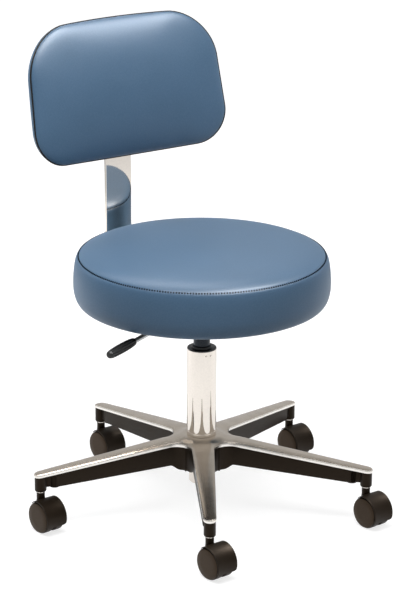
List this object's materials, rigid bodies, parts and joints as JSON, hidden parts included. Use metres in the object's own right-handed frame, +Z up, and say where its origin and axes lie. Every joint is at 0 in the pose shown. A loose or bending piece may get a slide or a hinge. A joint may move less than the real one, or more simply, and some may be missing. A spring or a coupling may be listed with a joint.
{
  "type": "stool with backrest",
  "caption": "Round padded stool with a low backrest on a bent flat bar, gas-lift column with a release lever, and a star base on twin-wheel casters.",
  "frame": {"origin": "middle of the bounding box at floor level; the column axis is beside it, at the place that seat_top gives", "axes": "+Z up along the column; the sitter faces -Y, the backrest is on the +Y side, +X to the right of someone looking from the front"},
  "size_m": [0.587, 0.5921, 0.7982],
  "materials": {
    "cap_aluminium": "polished die casting",
    "black_nylon": "moulded, satin",
    "chrome": "bright plated",
    "black_acetal": "turned, satin",
    "black_lacquer": "black lacquer, semi-gloss",
    "plated_steel": "zinc plated",
    "plywood": "unfinished",
    "blue_vinyl": "fine-grained vinyl, satin",
    "black_piping": "vinyl piping, satin",
    "black_cloth": "thin non-woven",
    "wheel_nylon": "moulded, satin"
  },
  "bodies": {
    "base": {"base_cap": "cap_aluminium", "base_frame": "black_nylon", "stem_sleeves": "plated_steel", "column_tube": "chrome", "guide_bush": "black_acetal", "thrust_bearing": "plated_steel"},
    "spindle": {"piston_rod": "plated_steel", "rod_clip": "plated_steel"},
    "seat": {"gas_cylinder": "black_lacquer", "cylinder_gland": "black_acetal", "seat_plate": "black_lacquer", "plate_bolts": "plated_steel", "seat_board": "plywood", "seat_cushion": "blue_vinyl", "dust_cover": "black_cloth", "lever_pin": "plated_steel", "back_bar": "chrome", "bar_bolts": "plated_steel", "back_screws": "plated_steel", "back_board": "plywood", "back_shell": "blue_vinyl", "back_welt": "black_piping", "back_cushion": "blue_vinyl"},
    "lever": {"lever_rod": "chrome", "lever_grip": "black_nylon"},
    "release_pin": {"release_pin": "plated_steel"},
    "caster_1": {"caster_stem_1": "plated_steel", "caster_hood_1": "black_nylon", "caster_axle_1": "plated_steel"},
    "wheel_left_1": {"wheel_left_1": "wheel_nylon"},
    "wheel_right_1": {"wheel_right_1": "wheel_nylon"},
    "caster_2": {"caster_stem_2": "plated_steel", "caster_hood_2": "black_nylon", "caster_axle_2": "plated_steel"},
    "wheel_left_2": {"wheel_left_2": "wheel_nylon"},
    "wheel_right_2": {"wheel_right_2": "wheel_nylon"},
    "caster_3": {"caster_stem_3": "plated_steel", "caster_hood_3": "black_nylon", "caster_axle_3": "plated_steel"},
    "wheel_left_3": {"wheel_left_3": "wheel_nylon"},
    "wheel_right_3": {"wheel_right_3": "wheel_nylon"},
    "caster_4": {"caster_stem_4": "plated_steel", "caster_hood_4": "black_nylon", "caster_axle_4": "plated_steel"},
    "wheel_left_4": {"wheel_left_4": "wheel_nylon"},
    "wheel_right_4": {"wheel_right_4": "wheel_nylon"},
    "caster_5": {"caster_stem_5": "plated_steel", "caster_hood_5": "black_nylon", "caster_axle_5": "plated_steel"},
    "wheel_left_5": {"wheel_left_5": "wheel_nylon"},
    "wheel_right_5": {"wheel_right_5": "wheel_nylon"}
  },
  "joints": [
    {"name": "seat_swivel", "type": "hinge", "parent": "base", "child": "spindle", "pos_m": [0.0063, -0.0014, 0.05], "axis": [0, 0, 1], "continuous": true},
    {"name": "seat_lift", "type": "slide", "parent": "spindle", "child": "seat", "axis": [0, 0, 1], "range_m": [0, 0.13]},
    {"name": "lever_lift", "type": "hinge", "parent": "seat", "child": "lever", "pos_m": [-0.03329, -0.01542, 0.35825], "axis": [-0.3338, 0.9426, 0], "range_deg": [0, 5], "stiffness_Nm_per_rad": 1, "springref_deg": -17.19},
    {"name": "pin_press", "type": "slide", "parent": "seat", "child": "release_pin", "axis": [0, 0, -1], "range_m": [0, 0.0037]},
    {"name": "caster_swivel_1", "type": "hinge", "parent": "base", "child": "caster_1", "pos_m": [-0.13886, -0.24783, 0.07], "axis": [0, 0, 1], "continuous": true},
    {"name": "wheel_left_roll_1", "type": "hinge", "parent": "caster_1", "child": "wheel_left_1", "pos_m": [-0.1371, -0.26323, 0.027], "axis": [0.9936, 0.1132, 0], "continuous": true},
    {"name": "wheel_right_roll_1", "type": "hinge", "parent": "caster_1", "child": "wheel_right_1", "pos_m": [-0.1371, -0.26323, 0.027], "axis": [0.9936, 0.1132, 0], "continuous": true},
    {"name": "caster_swivel_2", "type": "hinge", "parent": "base", "child": "caster_2", "pos_m": [0.19581, -0.2156, 0.07], "axis": [0, 0, 1], "continuous": true},
    {"name": "wheel_left_roll_2", "type": "hinge", "parent": "caster_2", "child": "wheel_left_2", "pos_m": [0.19756, -0.231, 0.027], "axis": [0.9936, 0.1132, 0], "continuous": true},
    {"name": "wheel_right_roll_2", "type": "hinge", "parent": "caster_2", "child": "wheel_right_2", "pos_m": [0.19756, -0.231, 0.027], "axis": [0.9936, 0.1132, 0], "continuous": true},
    {"name": "caster_swivel_3", "type": "hinge", "parent": "base", "child": "caster_3", "pos_m": [0.26858, 0.11264, 0.07], "axis": [0, 0, 1], "continuous": true},
    {"name": "wheel_left_roll_3", "type": "hinge", "parent": "caster_3", "child": "wheel_left_3", "pos_m": [0.27033, 0.09724, 0.027], "axis": [0.9936, 0.1132, 0], "continuous": true},
    {"name": "wheel_right_roll_3", "type": "hinge", "parent": "caster_3", "child": "wheel_right_3", "pos_m": [0.27033, 0.09724, 0.027], "axis": [0.9936, 0.1132, 0], "continuous": true},
    {"name": "caster_swivel_4", "type": "hinge", "parent": "base", "child": "caster_4", "pos_m": [-0.02111, 0.28328, 0.07], "axis": [0, 0, 1], "continuous": true},
    {"name": "wheel_left_roll_4", "type": "hinge", "parent": "caster_4", "child": "wheel_left_4", "pos_m": [-0.01936, 0.26788, 0.027], "axis": [0.9936, 0.1132, 0], "continuous": true},
    {"name": "wheel_right_roll_4", "type": "hinge", "parent": "caster_4", "child": "wheel_right_4", "pos_m": [-0.01936, 0.26788, 0.027], "axis": [0.9936, 0.1132, 0], "continuous": true},
    {"name": "caster_swivel_5", "type": "hinge", "parent": "base", "child": "caster_5", "pos_m": [-0.27292, 0.0605, 0.07], "axis": [0, 0, 1], "continuous": true},
    {"name": "wheel_left_roll_5", "type": "hinge", "parent": "caster_5", "child": "wheel_left_5", "pos_m": [-0.27117, 0.0451, 0.027], "axis": [0.9936, 0.1132, 0], "continuous": true},
    {"name": "wheel_right_roll_5", "type": "hinge", "parent": "caster_5", "child": "wheel_right_5", "pos_m": [-0.27117, 0.0451, 0.027], "axis": [0.9936, 0.1132, 0], "continuous": true}
  ],
  "couplings": [
    {"joint": "pin_press", "follows": "lever_lift", "m_per_rad": 0.042}
  ]
}
